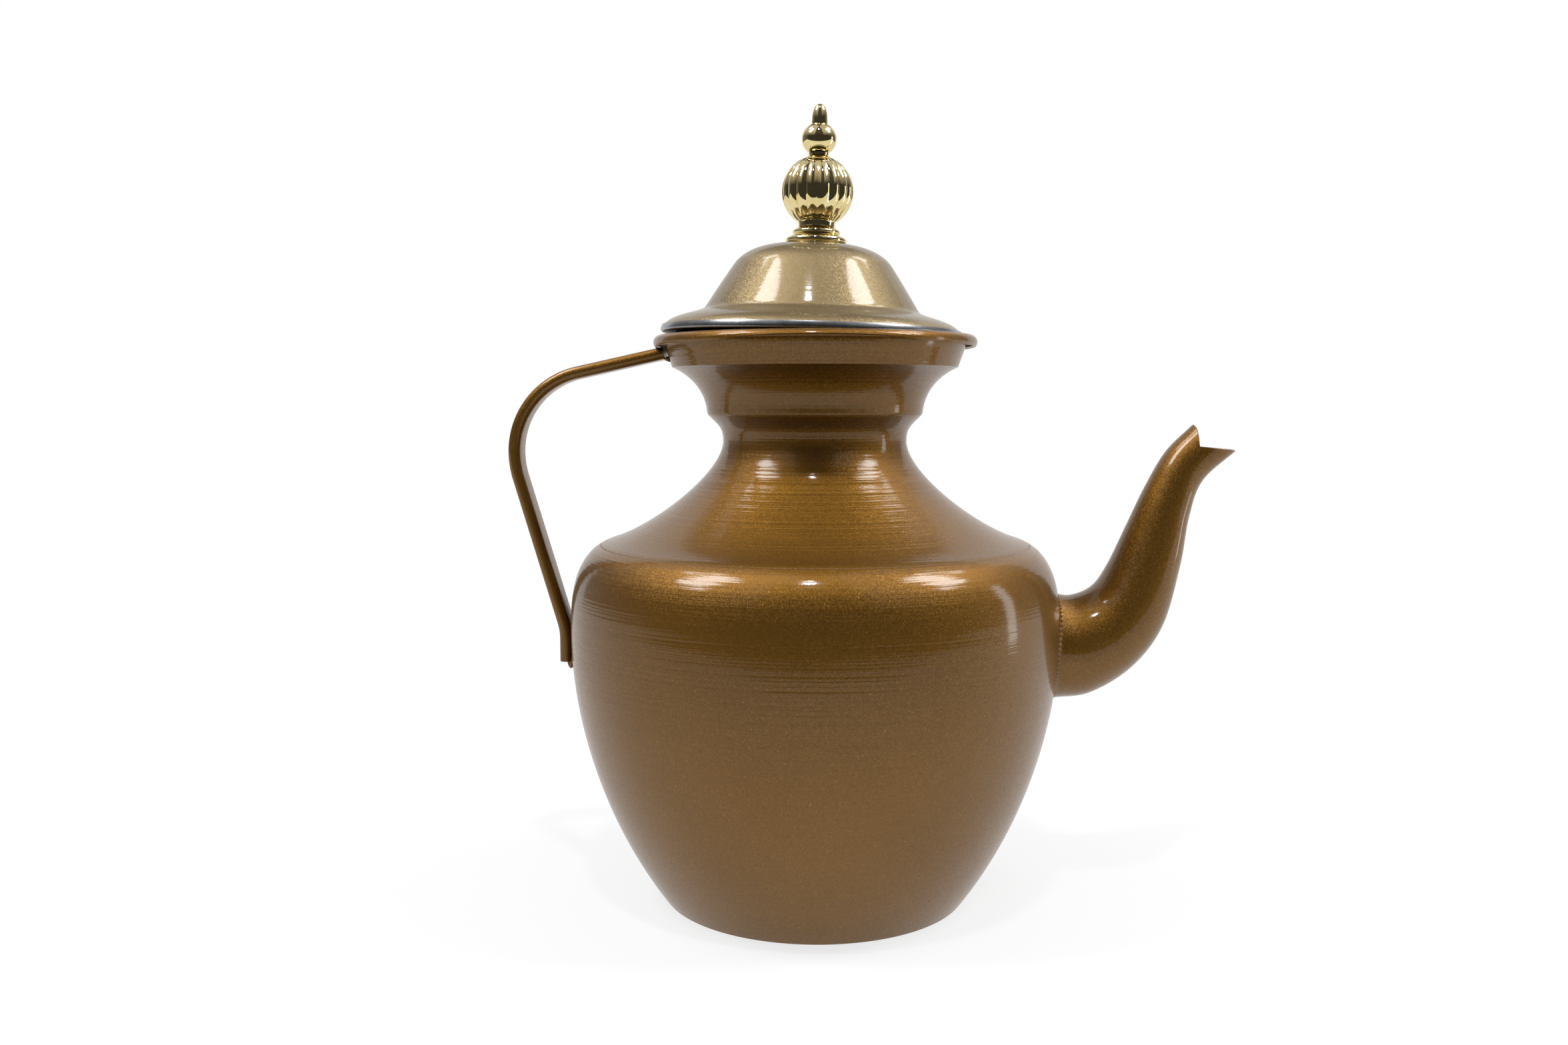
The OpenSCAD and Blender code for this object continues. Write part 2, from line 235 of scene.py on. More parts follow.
def indexNodes(tree, perRow):
    index = addNode(tree, "GeometryNodeInputIndex").outputs[0]
    row = mathNode(tree, "FLOOR", mathNode(tree, "DIVIDE", mathNode(tree, "ADD", index, 0.5), perRow))
    return row, mathNode(tree, "SUBTRACT", index, mathNode(tree, "MULTIPLY", row, perRow))


def sampleNode(tree, geometry, index, value, kind="FLOAT_VECTOR"):
    node = addNode(tree, "GeometryNodeSampleIndex", {"Geometry": geometry, "Index": index}, data_type=kind)
    tree.links.new(value, node.inputs["Value"])
    return node.outputs[0]


def pointCount(tree, geometry):
    size = addNode(tree, "GeometryNodeAttributeDomainSize", {0: geometry}, component="MESH")
    return size.outputs["Point Count"]


# Turns an outline round the Z axis; lobes cut V grooves into a ball of the given radius
def latheTree():
    tree, given, end = newTree("lathe", [
        ("Steps round", "NodeSocketInt", 256),
        ("Lobes", "NodeSocketFloat", 0.0),
        ("Groove depth", "NodeSocketFloat", 0.0),
        ("Ball radius", "NodeSocketFloat", 1.0),
        ("Finish", "NodeSocketMaterial", None),
    ])
    outline = given["Line"]
    rows = pointCount(tree, outline)
    columns = mathNode(tree, "ADD", given["Steps round"], 1.0)
    grid = addNode(tree, "GeometryNodeMeshGrid", {"Vertices X": columns, "Vertices Y": rows})
    column, row = indexNodes(tree, rows)
    position = addNode(tree, "GeometryNodeInputPosition").outputs[0]
    place = sampleNode(tree, outline, row, position)
    lengthThere = addNode(tree, "GeometryNodeInputNamedAttribute", {"Name": "along"}, data_type="FLOAT")
    along = sampleNode(tree, outline, row, lengthThere.outputs[0], "FLOAT")

    turn = mathNode(tree, "MULTIPLY", mathNode(tree, "DIVIDE", column, given["Steps round"]), 2 * math.pi)
    split = addNode(tree, "ShaderNodeSeparateXYZ", {0: place}).outputs
    halfTurns = mathNode(tree, "MULTIPLY", mathNode(tree, "MULTIPLY", turn, given["Lobes"]), 0.5)
    wave = mathNode(tree, "ABSOLUTE", mathNode(tree, "COSINE", halfTurns))
    fade = mathNode(tree, "POWER", mathNode(tree, "DIVIDE", split["X"], given["Ball radius"]), 2.0)
    depth = mathNode(tree, "MULTIPLY", fade, given["Groove depth"])
    cut = mathNode(tree, "MULTIPLY", mathNode(tree, "SUBTRACT", 1.0, wave), depth)
    radius = mathNode(tree, "SUBTRACT", split["X"], cut)
    joined = addNode(tree, "ShaderNodeCombineXYZ", {"X": radius, "Z": split["Z"]}).outputs[0]
    turned = addNode(
        tree, "ShaderNodeVectorRotate", {"Vector": joined, "Angle": turn}, rotation_type="Z_AXIS"
    )
    shaped = addNode(
        tree, "GeometryNodeSetPosition", {"Geometry": grid.outputs["Mesh"], "Position": turned.outputs[0]}
    )
    stored = addNode(
        tree, "GeometryNodeStoreNamedAttribute",
        {"Geometry": shaped.outputs[0], "Name": "along", "Value": along}, data_type="FLOAT", domain="POINT",
    )
    endTree(tree, stored.outputs[0], given["Finish"], end)
    return tree


# Sweeps a section, which is another mesh line, along a path in the X-Z plane
def strapTree():
    tree, given, end = newTree("strap", [
        ("Section", "NodeSocketObject", None),
        ("Finish", "NodeSocketMaterial", None),
    ])
    path = given["Line"]
    section = addNode(tree, "GeometryNodeObjectInfo", {"Object": given["Section"]}).outputs["Geometry"]
    sides = pointCount(tree, section)
    grid = addNode(
        tree, "GeometryNodeMeshGrid", {"Vertices X": pointCount(tree, path), "Vertices Y": sides}
    )
    station, side = indexNodes(tree, sides)
    position = addNode(tree, "GeometryNodeInputPosition").outputs[0]
    lean = addNode(tree, "GeometryNodeInputNamedAttribute", {"Name": "across"}, data_type="FLOAT_VECTOR")
    centre = sampleNode(tree, path, station, position)
    across = sampleNode(tree, path, station, lean.outputs[0])
    offset = addNode(tree, "ShaderNodeSeparateXYZ", {0: sampleNode(tree, section, side, position)}).outputs
    sideways = addNode(tree, "ShaderNodeCombineXYZ", {"Y": offset["Y"]}).outputs[0]
    outward = vectorNode(tree, "SCALE", across, scale=offset["X"])
    final = vectorNode(tree, "ADD", vectorNode(tree, "ADD", centre, outward), sideways)
    shaped = addNode(
        tree, "GeometryNodeSetPosition", {"Geometry": grid.outputs["Mesh"], "Position": final}
    )
    endTree(tree, shaped.outputs[0], given["Finish"], end)
    return tree


lathe = latheTree()
strap = strapTree()


# A piece turned from an outline in millimetres
def turned(name, outline, finish, steps=256, lobes=0, groove=0.0, ballRadius=1.0, sharp=30):
    points = [(p.x * mm, 0, p.y * mm) for p in outline]
    values = {
        "Steps round": steps, "Lobes": float(lobes), "Groove depth": groove * mm,
        "Ball radius": ballRadius * mm, "Finish": finish,
    }
    return tidyMesh(runTree(name, lathe, points, values), sharp)


# Rides the finished piece on its body and stands it for its solids
def place(made, body, slot, *nodes):
    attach(made, body)
    if nodes:
        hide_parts(*nodes)
    return made


def newFinish(name):
    finish = bpy.data.materials.new(name)
    finish.use_nodes = True
    tree = finish.node_tree
    return finish, tree, tree.nodes["Principled BSDF"]


def noiseOf(tree, vector, scale, detail=2.0, rough=0.5):
    node = addNode(tree, "ShaderNodeTexNoise", {"Scale": scale, "Detail": detail, "Roughness": rough})
    tree.links.new(vector, node.inputs["Vector"])
    return node.outputs["Fac"]


def noiseAlong(tree, along, scale, detail=1.0):
    node = addNode(tree, "ShaderNodeTexNoise", {"Scale": scale, "Detail": detail}, noise_dimensions="1D")
    tree.links.new(along, node.inputs["W"])
    return node.outputs["Fac"]


def ramp(tree, fac, stops):
    node = addNode(tree, "ShaderNodeValToRGB", {"Fac": fac})
    while len(node.color_ramp.elements) < len(stops):
        node.color_ramp.elements.new(0.5)
    for element, (at, colour) in zip(node.color_ramp.elements, stops):
        element.position = at
        element.color = (*colour, 1)
    return node.outputs["Color"]


def rangeOf(tree, fac, low, high, start=0.0, stop=1.0):
    inputs = {"Value": fac, "From Min": start, "From Max": stop, "To Min": low, "To Max": high}
    return addNode(tree, "ShaderNodeMapRange", inputs).outputs[0]


def bumpOf(tree, height, distance, below=None):
    node = addNode(tree, "ShaderNodeBump", {"Height": height, "Strength": 1.0, "Distance": distance})
    if below is not None:
        tree.links.new(below, node.inputs["Normal"])
    return node.outputs[0]


paintLook = {
    "metallic": 1.0,
    "flakeScale": 2900,  # flakes per metre
    "flakeTilt": 0.12,
    "sparkle": 0.97,  # share of the flakes that stay dull
    "coat": 0.55,
    "coatRoughness": 0.10,
    "lineScale": 900,  # fine lathe lines per metre of outline
    "lineDepth": 0.00009,
    "ringScale": 260,  # broad lathe rings per metre of outline
    "ringDepth": 0.00016,
    "roughness": (0.50, 0.58),
    "cloudScale": 26, "patchScale": 18,  # slow changes of tone and of the lines' strength
    "rippleScale": 420, "rippleDepth": 0.0000035,  # orange peel in the clear coat
    "linesFrom": 0.06, "linesFull": 0.13,  # the lines show most from the belly up
}


# Metallic paint: tilted flakes under a clear gloss; spun pieces show the lines of the lathe
def paint(name, dark, mid, light, lines=1.0):
    look = paintLook
    finish, tree, shader = newFinish(name)
    where = addNode(tree, "ShaderNodeTexCoord").outputs["Object"]
    normal = addNode(tree, "ShaderNodeNewGeometry").outputs["Normal"]
    cells = addNode(tree, "ShaderNodeTexVoronoi", {"Vector": where, "Scale": look["flakeScale"]}).outputs
    flake = addNode(tree, "ShaderNodeSeparateColor", {0: cells["Color"]}).outputs
    clouds = noiseOf(tree, where, look["cloudScale"], 3.0)
    tone = mathNode(tree, "ADD", mathNode(tree, "MULTIPLY", flake["Red"], 0.6),
                    mathNode(tree, "MULTIPLY", clouds, 0.4))
    colour = ramp(tree, tone, [(0.15, dark), (0.5, mid), (0.85, light)])
    bright = rangeOf(tree, flake["Green"], 0.0, 1.0, look["sparkle"], 1.0)
    glint = addNode(tree, "ShaderNodeMix", {"Factor": bright}, data_type="RGBA")
    tree.links.new(colour, glint.inputs["A"])
    glint.inputs["B"].default_value = (*(min(1.0, 1.4 * c + 0.01) for c in light), 1)
    tree.links.new(glint.outputs["Result"], shader.inputs["Base Color"])
    tree.links.new(rangeOf(tree, flake["Blue"], *look["roughness"]), shader.inputs["Roughness"])
    shader.inputs["Metallic"].default_value = look["metallic"]
    shader.inputs["Coat Weight"].default_value = look["coat"]
    shader.inputs["Coat Roughness"].default_value = look["coatRoughness"]
    if lines:
        along = addNode(tree, "ShaderNodeAttribute", attribute_name="along").outputs["Fac"]
        height = addNode(tree, "ShaderNodeSeparateXYZ", {0: where}).outputs["Z"]
        upper = rangeOf(tree, height, 0.25, 1.0, look["linesFrom"], look["linesFull"])
        patches = rangeOf(tree, noiseOf(tree, where, look["patchScale"], 1.0), 0.4, 1.3, 0.3, 0.7)
        strong = mathNode(tree, "MULTIPLY", mathNode(tree, "MULTIPLY", upper, patches), lines)
        fine = mathNode(tree, "MULTIPLY", noiseAlong(tree, along, look["lineScale"], 2.0), strong)
        broad = mathNode(tree, "MULTIPLY", noiseAlong(tree, along, look["ringScale"]), strong)
        normal = bumpOf(tree, fine, look["lineDepth"], bumpOf(tree, broad, look["ringDepth"]))
    peel = noiseOf(tree, where, look["rippleScale"], 1.0)
    ripple = bumpOf(tree, peel, look["rippleDepth"], normal if lines else None)
    tree.links.new(ripple, shader.inputs["Coat Normal"])
    tilt = vectorNode(tree, "SUBTRACT", cells["Color"], (0.5, 0.5, 0.5))
    tilted = vectorNode(tree, "ADD", normal, vectorNode(tree, "SCALE", tilt, scale=2 * look["flakeTilt"]))
    tree.links.new(vectorNode(tree, "NORMALIZE", tilted), shader.inputs["Normal"])
    return finish


# Bare metal with small changes of tone and gloss
def metal(name, dark, light, roughness, scale, bump=0.0):
    finish, tree, shader = newFinish(name)
    where = addNode(tree, "ShaderNodeTexCoord").outputs["Object"]
    clouds = noiseOf(tree, where, scale, 4.0, 0.6)
    tree.links.new(ramp(tree, clouds, [(0.3, dark), (0.7, light)]), shader.inputs["Base Color"])
    smears = noiseOf(tree, where, scale * 2.7, 3.0)
    tree.links.new(rangeOf(tree, smears, *roughness), shader.inputs["Roughness"])
    shader.inputs["Metallic"].default_value = 1.0
    if bump:
        tree.links.new(bumpOf(tree, clouds, bump), shader.inputs["Normal"])
    return finish


bronzeTones = {
    "dark": (0.152, 0.071, 0.010), "mid": (0.175, 0.084, 0.013), "light": (0.205, 0.102, 0.019),
}
champagneTones = {
    "dark": (0.168, 0.122, 0.057), "mid": (0.196, 0.146, 0.071), "light": (0.241, 0.185, 0.099),
}
bronzeSpun = paint("bronzePaintSpun", **bronzeTones)
bronzePressed = paint("bronzePaintPressed", lines=0, **bronzeTones)
champagne = paint("champagnePaint", lines=0.12, **champagneTones)
brass = metal("polishedBrass", (0.66, 0.53, 0.24), (0.78, 0.67, 0.37), (0.03, 0.08), 160)
aluminium = metal("bareAluminium", (0.21, 0.22, 0.23), (0.31, 0.32, 0.33), (0.22, 0.34), 90, 0.000006)
steel = metal("brushedSteel", (0.42, 0.43, 0.45), (0.58, 0.59, 0.60), (0.25, 0.4), 300, 0.00001)
print("finishes mixed")

pot = {
    "baseRadius": 66.7, "bellyRadius": 105.7, "bellyHeight": 118,
    "seamRadius": 93, "seamHeight": 154.5, "neckRadius": 39.7, "neckHeight": 198.5,
    "creaseRadius": 46.5, "creaseHeight": 210, "collarRadius": 61.5, "collarHeight": 230,
    "rimRadius": 66.4, "rimHeight": 240.4, "rollRadius": 3.0, "rollEnd": -48, "wall": 1.2,
    "seamSoft": 3.6, "creaseSoft": 0.6,  # how far the corners at the seam and the crease are rounded
    "middleHeight": 100, "steps": 288,
}


# Outer lines of the body, the shoulder and the mouth
def potOutlines():
    p = pot
    baseR, bellyR, bellyZ = p["baseRadius"], p["bellyRadius"], p["bellyHeight"]
    seamR, seamZ, neckR, neckZ = p["seamRadius"], p["seamHeight"], p["neckRadius"], p["neckHeight"]
    creaseR, creaseZ = p["creaseRadius"], p["creaseHeight"]
    collarR, collarZ = p["collarRadius"], p["collarHeight"]
    rimR, rimZ, rollR, wall = p["rimRadius"], p["rimHeight"], p["rollRadius"], p["wall"]
    wallR = rimR - rollR + wall
    belly = [(baseR, 0), (baseR + 18.5, 25), (bellyR, bellyZ - 50), (bellyR, bellyZ)]
    bulge = [(bellyR, bellyZ), (bellyR, bellyZ + 19.5), (seamR + 9.5, seamZ - 7), (seamR, seamZ)]
    slope = [(seamR, seamZ), (seamR - 19, seamZ + 4), (neckR, neckZ - 14.5), (neckR, neckZ)]
    neck = [(neckR, neckZ), (neckR, neckZ + 5.5), (creaseR - 5, creaseZ - 5), (creaseR, creaseZ)]
    flare = [(creaseR, creaseZ), (creaseR + 0.5, creaseZ + 9)]
    flare += [(collarR - 9, collarZ - 4), (collarR, collarZ)]
    collar = [(collarR, collarZ), (wallR - 1.6, collarZ + 5), (wallR, rimZ - 2.5), (wallR, rimZ)]
    bodyLine = line((0, 0), (22, 0), (44, 0), (baseR - 2, 0), (baseR, 0))
    bodyLine += curve(belly, 60) + curve(bulge, 30)
    shoulderLine = line((seamR, seamZ)) + curve(slope, 44) + curve(neck, 18)
    mouthLine = line((creaseR, creaseZ)) + curve(flare, 22) + curve(collar, 10)
    mouthLine += arc(rimR, rimZ, rollR - wall, 180, p["rollEnd"], 48)[1:]
    return bodyLine, shoulderLine, mouthLine


bodyLine, shoulderLine, mouthLine = potOutlines()
whole = bodyLine + shoulderLine[1:] + mouthLine[1:]
whole, creaseAt = softened(whole, len(bodyLine) + len(shoulderLine) - 2, pot["creaseSoft"])
before = len(whole)
whole, seamAt = softened(whole, len(bodyLine) - 1, pot["seamSoft"])
creaseAt += len(whole) - before
inner = beside(whole, pot["wall"])
parts = {
    "bodyShell": (0, seamAt, "body"),
    "shoulderShell": (seamAt, creaseAt, "shoulder"),
    "mouthShell": (creaseAt, len(whole) - 1, "mouth"),
}
shells = {}
for name, (low, high, node) in parts.items():
    outline = whole[low:high + 1] + inner[low:high + 1][::-1]
    if low:
        outline.append(outline[0])
    shells[name] = turned(name, outline, bronzeSpun, pot["steps"])
print("pot turned")

spoutHole = {"height": 109, "radius": 21.9, "from": 60, "to": 112}


# Cuts the hole for the spout
def drill(made):
    h = spoutHole
    data = bpy.data.meshes.new("drill")
    work = bmesh.new()
    bmesh.ops.create_cone(
        work, cap_ends=True, segments=128, radius1=h["radius"] * mm, radius2=h["radius"] * mm,
        depth=(h["to"] - h["from"]) * mm,
        matrix=Matrix.Translation((0.5 * (h["from"] + h["to"]) * mm, 0, h["height"] * mm))
        @ Matrix.Rotation(math.radians(90), 4, "Y"),
    )
    work.to_mesh(data)
    work.free()
    tool = bpy.data.objects.new("drill", data)
    scene.collection.objects.link(tool)
    modifier = made.modifiers.new("hole", "BOOLEAN")
    modifier.operation = "DIFFERENCE"
    modifier.solver = "EXACT"
    modifier.object = tool
    plain(made)
    bpy.data.objects.remove(tool)
    return tidyMesh(made)


# The roll's free edge isn't even: at the front the sheet ends early and leaves the roll open
rollEdge = {"frontEnd": 18, "centre": 1, "halfWidth": 33, "wave": 7}


def openRoll(made):
    rimR, rimZ, end = pot["rimRadius"] * mm, pot["rimHeight"] * mm, pot["rollEnd"]
    for vertex in made.data.vertices:
        r = math.hypot(vertex.co.x, vertex.co.y)
        fromMiddle = math.hypot(r - rimR, vertex.co.z - rimZ)
        a = math.degrees(math.atan2(vertex.co.z - rimZ, r - rimR))
        if fromMiddle > (pot["rollRadius"] + 0.05) * mm or a < end - 2:
            continue
        side = math.degrees(math.atan2(vertex.co.x, -vertex.co.y))
        gape = 1 / (1 + ((side - rollEdge["centre"]) / rollEdge["halfWidth"]) ** 4)
        uneven = rollEdge["wave"] * (0.5 + 0.5 * math.sin(math.radians(5 * side + 40)))
        newEnd = end + (rollEdge["frontEnd"] - end) * gape + uneven * (1 - gape)
        b = math.radians(180 - (180 - a) * (180 - newEnd) / (180 - end))
        r2, z2 = rimR + fromMiddle * math.cos(b), rimZ + fromMiddle * math.sin(b)
        vertex.co.x *= r2 / r
        vertex.co.y *= r2 / r
        vertex.co.z = z2


# Painted highlight: the roll's cut edge gets the bare aluminium finish, which draws a lighter line along
# the roll's free edge. Its faces look along the roll, back towards its free end
def paintedEdgeHighlight(made):
    rimR, rimZ = pot["rimRadius"] * mm, pot["rimHeight"] * mm
    made.data.materials.append(aluminium)
    for face in made.data.polygons:
        p = face.center
        r = math.hypot(p.x, p.y)
        a = math.atan2(p.z - rimZ, r - rimR)
        fromMiddle = math.hypot(r - rimR, p.z - rimZ)
        out = Vector((p.x / r, p.y / r, 0))
        along = out * math.sin(a) - Vector((0, 0, math.cos(a)))
        if fromMiddle < (pot["rollRadius"] + 0.05) * mm and face.normal.dot(along) > 0.8:
            face.material_index = 1


# Faces that look into the pot are bare metal
def bareInside(made, centreHeight=None):
    made.data.materials.append(aluminium)
    for face in made.data.polygons:
        p = face.center
        towards = Vector((-p.x, -p.y, 0 if centreHeight is None else centreHeight * mm - p.z))
        if towards.dot(face.normal) > 0.3 * towards.length:
            face.material_index = 1


drill(shells["bodyShell"])
openRoll(shells["mouthShell"])
# painted highlight: the roll's cut edge gets the lighter bare metal finish
paintedEdgeHighlight(shells["mouthShell"])
bareInside(shells["bodyShell"], pot["middleHeight"])
bareInside(shells["shoulderShell"])
for name, (low, high, node) in parts.items():
    place(shells[name], "pot", "bronze_paint", node)
print("spout hole cut, roll opened")

spout = {
    "rootHeight": 109, "rootRadius": 22.9, "wall": 1.0, "rootX": 103.7,
    "hoodTip": (162.9, 205.4), "notch": (163.6, 196.2), "beakTip": (181.3, 194.2), "hoodBulge": 0.4,
    "seamRidge": 0.3, "ridgeWidth": 7,  # millimetres, degrees
    "ridgeStart": 0.4, "ridgeStop": 6.8, "firstRing": 0.35,  # counted in stations from the root
    "rings": 110, "sides": 48,
}
rootTop, rootLow = spout["rootHeight"] + spout["rootRadius"], spout["rootHeight"] - spout["rootRadius"]
# Upper edge, lower edge and half width, from the root to the lips
spoutStations = [
    ((spout["rootX"], rootTop), (spout["rootX"], rootLow), spout["rootRadius"]),
    ((112.4, 131.1), (120.2, 88.5), 22),
    ((121.6, 135.3), (138.2, 99.8), 19.8),
    ((128, 145), (151.3, 117.6), 17.2),
    ((135.2, 161), (158.5, 144), 14),
    ((143.1, 178.5), (162, 166), 11.6),
    ((151.8, 194), (167.4, 181.3), 10),
    (spout["hoodTip"], spout["beakTip"], 9.2),
]


# Smooth value at u on a list of evenly spaced vectors
def smoothOn(values, u):
    last = len(values) - 1
    i = min(int(u), last - 1)
    f = u - i
    b, c = values[i], values[i + 1]
    a = values[i - 1] if i > 0 else 2 * b - c
    d = values[i + 2] if i < last - 1 else 2 * c - b
    square, cube = 2 * a - 5 * b + 4 * c - d, 3 * b - a - 3 * c + d
    return 0.5 * (2 * b + (c - a) * f + square * f * f + cube * f ** 3)


stationVectors = [Vector((*upper, *lower)) for upper, lower, _ in spoutStations]
widthVectors = [Vector((width, 0)) for _, _, width in spoutStations]


def tubePoint(u, angle, thick):
    s = smoothOn(stationVectors, u)
    width = smoothOn(widthVectors, u).x
    centre = Vector(((s[0] + s[2]) / 2, (s[1] + s[3]) / 2))
    rise = Vector(((s[0] - s[2]) / 2, (s[1] - s[3]) / 2))
    fromSeam = math.degrees(math.pi - angle) / spout["ridgeWidth"]
    grown = spout["seamRidge"] * math.exp(-fromSeam ** 2) * min(1.0, max(0.0, u - spout["ridgeStart"]))
    grown *= min(1.0, max(0.0, spout["ridgeStop"] - u))
    p = centre + rise * (1 + (grown - thick) / rise.length) * math.cos(angle)
    return Vector((p.x, (width - thick) * math.sin(angle), p.y))


def cutAway(p):
    nx, nz = spout["notch"]
    bx, bz = spout["beakTip"]
    hx, hz = spout["hoodTip"]
    f = (p.z - nz) / (hz - nz)
    hoodX = nx + (hx - nx) * f + spout["hoodBulge"] * f * (1 - f)
    return p.z > nz + (bz - nz) * (p.x - nx) / (bx - nx) and p.x > hoodX


def lipStation(angle):
    low, high = 4.0, len(spoutStations) - 1.0
    for _ in range(22):
        middle = (low + high) / 2
        if cutAway(tubePoint(middle, angle, 0)):
            high = middle
        else:
            low = middle
    return (low + high) / 2


def bodyRadius(z):
    outer = bodyLine[4:]
    for a, b in zip(outer, outer[1:]):
        if a.y <= z <= b.y:
            return a.x + (b.x - a.x) * (z - a.y) / (b.y - a.y)
    return outer[-1].x


def onBody(p, proud=0.0):
    return Vector((math.sqrt((bodyRadius(p.z) + proud) ** 2 - p.y ** 2), p.y, p.z))


def spoutLine(angle, thick):
    stop = lipStation(angle)
    first = spout["firstRing"]
    points = [onBody(tubePoint(0, angle, thick))]
    for k in range(1, spout["rings"]):
        points.append(tubePoint(first + (stop - first) * k / (spout["rings"] - 1), angle, thick))
    return points


# One pressed half, its sheet running from the upper to the lower seam
def spoutHalf(name, side):
    n = spout["sides"]
    angles = [math.pi * i / n for i in range(n + 1)]
    around = [spoutLine(a, 0) for a in angles] + [spoutLine(a, spout["wall"]) for a in reversed(angles)]
    count = len(around)
    points = [Vector((p.x, side * p.y, p.z)) for k in range(spout["rings"]) for p in (c[k] for c in around)]
    faces = ringFaces(spout["rings"], count)
    last = (spout["rings"] - 1) * count
    for i in range(n):
        faces.append((i, count - 1 - i, count - 2 - i, i + 1))
        faces.append((last + i, last + i + 1, last + count - 2 - i, last + count - 1 - i))
    return tidyMesh(meshOf(name, points, faces, bronzePressed), 40)


place(spoutHalf("spoutLeftHalf", 1), "pot", "bronze_paint", "spout_left_half")
place(spoutHalf("spoutRightHalf", -1), "pot", "bronze_paint", "spout_right_half")

fillet = {"leg": 1.3, "ripples": 74, "rippleHeight": 0.16, "rings": 592, "steps": 7}


# Rippled fillet of weld metal in the corner between spout and body
def spoutFillet():
    rootR, rootZ, count = spout["rootRadius"], spout["rootHeight"], fillet["steps"] + 2
    points = []
    for k in range(fillet["rings"]):
        a = 2 * math.pi * k / fillet["rings"]
        wave = math.cos(a * fillet["ripples"] + 2 * math.sin(3 * a))
        leg = fillet["leg"] * (1 + 0.08 * math.sin(5 * a + 1) + 0.05 * math.sin(11 * a))
        ring = Vector((0, math.sin(a), math.cos(a)))
        middle = Vector((0, 0, rootZ))
        corner = onBody(middle + ring * rootR)
        foot = onBody(middle + ring * (rootR + leg))
        crest = corner + Vector((leg, 0, 0))
        points.append(corner)
        out = ((foot + crest) / 2 - corner).normalized()
        for j in range(count - 1):
            f = j / (count - 2)
            bulge = math.sin(math.pi * f) * (fillet["rippleHeight"] * wave - 0.12)
            points.append(foot.lerp(crest, f) + out * bulge)
    faces = ringFaces(fillet["rings"], count)
    first = (fillet["rings"] - 1) * count
    faces += [(first + j, first + (j + 1) % count, (j + 1) % count, j) for j in range(count)]
    return tidyMesh(meshOf("spoutFillet", points, faces, bronzePressed), 60)


place(spoutFillet(), "pot", "bronze_paint", "spout_weld")
print("spout pressed and welded")

handle = {
    "width": 14.5, "thick": 5.3, "wall": 1.0, "footX": 108.8, "footZ": 101.9,
    # length or radius, turn away from the pot in degrees, steps
    "legs": [
        (9.9, 0, 4), (27.3, 16.4, 10), (65.4, 0, 24), (39.5, -15, 10), (35.3, -78.8, 44), (38.7, 0, 16),
    ],
    "middleHeight": 150,  # between its two open ends
}


# Places along the handle as x, z and lean
def handlePath():
    places = []
    x, z, lean = -handle["footX"], handle["footZ"], 0.0
    for length, turn, steps in handle["legs"]:
        reach = math.radians(turn)
        r = math.copysign(length, turn)
        for k in range(steps + 1):
            h = lean + reach * k / steps
            if turn:
                at = (x + r * (math.cos(h) - math.cos(lean)), z + r * (math.sin(h) - math.sin(lean)), h)
            else:
                gone = length * k / steps
                at = (x - gone * math.sin(lean), z + gone * math.cos(lean), lean)
            if k < steps:
                places.append(at)
        x, z, lean = at
    return places + [at]


# Flat strap with round edges
def strapSection(width, thick, steps=14):
    top = arc(0, (width - thick) / 2, thick / 2, 0, 180, steps)
    low = arc(0, (thick - width) / 2, thick / 2, 180, 360, steps)
    return top + low + top[:1]


def handleSkin(name, width, thick):
    data = bpy.data.meshes.new("section")
    data.from_pydata([(p.x * mm, p.y * mm, 0) for p in strapSection(width, thick)], [], [])
    section = bpy.data.objects.new("section", data)
    scene.collection.objects.link(section)
    places = handlePath()
    across = [c for _, _, h in places for c in (math.cos(h), 0.0, math.sin(h))]
    values = {"Section": section, "Finish": bronzePressed}
    made = runTree(name, strap, [(x * mm, 0, z * mm) for x, z, _ in places], values, {"across": across})
    bpy.data.objects.remove(section)
    return made


# Outer and inner skins of the folded strap, joined at both open ends
def makeHandle():
    wall = handle["wall"]
    outer = handleSkin("handleStrap", handle["width"], handle["thick"])
    inside = handleSkin("inside", handle["width"] - 2 * wall, handle["thick"] - 2 * wall)
    work = bmesh.new()
    work.from_mesh(outer.data)
    work.from_mesh(inside.data)
    bmesh.ops.remove_doubles(work, verts=work.verts, dist=1e-6)
    rims = [e for e in work.edges if e.is_boundary]
    middle = handle["middleHeight"] * mm
    for low in (True, False):
        bmesh.ops.bridge_loops(work, edges=[e for e in rims if (e.verts[0].co.z < middle) == low])
    work.to_mesh(outer.data)
    work.free()
    bpy.data.objects.remove(inside)
    return tidyMesh(outer, 40)


place(makeHandle(), "pot", "bronze_paint", "handle")

bead = {
    "grain": 0.45, "rough": 0.5, "roughScale": 420,  # millimetres, millimetres, per metre
    "drop": (-106.9, -3.6, 101.6), "dropSize": (1.5, 2.2, 3.4),  # the drop that ran down at the foot
}


